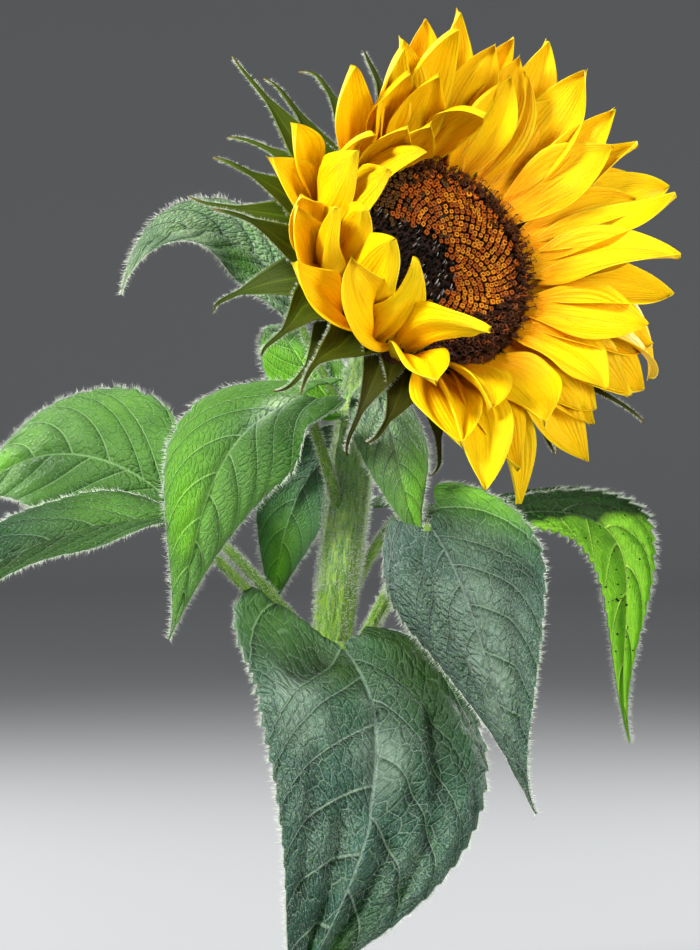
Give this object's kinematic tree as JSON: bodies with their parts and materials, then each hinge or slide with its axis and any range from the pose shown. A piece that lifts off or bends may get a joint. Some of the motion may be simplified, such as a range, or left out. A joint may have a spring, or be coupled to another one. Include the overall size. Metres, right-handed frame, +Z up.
{
  "type": "dwarf sunflower plant",
  "caption": "Whole rooted sunflower plant: one leaning stem, broad heart-shaped leaves on stalks, and a nodding head of ray petals round a domed disc.",
  "frame": {"origin": "centre of the stem's flat cut at ground level", "axes": "+Z up the plant; the head looks towards -Y and +X; +X is the right of the picture and +Y is away from its viewer"},
  "size_m": [0.3086, 0.2503, 0.4358],
  "materials": {
    "stem": "matt green skin with pale stripes and white hairs",
    "leaf": "soft matt leaf with paler veins, teal to bright green",
    "petal": "satin yellow petal with fine lengthwise ribs",
    "bract": "matt green with hairy edges",
    "disc": "rough golden-brown florets round a dark centre"
  },
  "bodies": {
    "root": {"petal_right_1": "petal", "petal_right_2": "petal", "petal_right_3": "petal", "petal_right_4": "petal", "petal_right_5": "petal", "petal_low_1": "petal", "petal_low_2": "petal", "petal_low_3": "petal", "petal_low_4": "petal", "petal_low_5": "petal", "petal_low_6": "petal", "petal_arch": "petal", "petal_left_1": "petal", "petal_left_2": "petal", "petal_left_3": "petal", "petal_left_4": "petal", "petal_left_5": "petal", "petal_left_6": "petal", "petal_left_7": "petal", "petal_left_8": "petal", "petal_left_9": "petal", "petal_left_10": "petal", "petal_left_11": "petal", "petal_top_1": "petal", "petal_top_2": "petal", "petal_top_3": "petal", "petal_top_4": "petal", "petal_top_5": "petal", "petal_top_6": "petal", "petal_top_7": "petal", "petal_top_8": "petal", "petal_top_9": "petal", "petal_top_10": "petal", "petal_top_11": "petal", "petal_top_12": "petal", "disc": "disc", "involucre": "bract", "stem": "stem", "stalk_front": "stem", "stalk_right_front": "stem", "stalk_right_back": "stem", "stalk_left_front": "stem", "stalk_far_left": "stem", "stalk_far_left_low": "stem", "stalk_high_left": "stem", "stalk_back_left": "stem", "stalk_back_right": "stem", "stalk_back_low": "stem", "leaf_front": "leaf", "leaf_right_front": "leaf", "leaf_right_back": "leaf", "leaf_left_front": "leaf", "leaf_far_left": "leaf", "leaf_far_left_low": "leaf", "leaf_high_left": "leaf", "leaf_neck_left": "leaf", "leaf_neck_right": "leaf", "leaf_back_left": "leaf", "leaf_back_right": "leaf", "leaf_back_low": "leaf"}
  },
  "joints": []
}
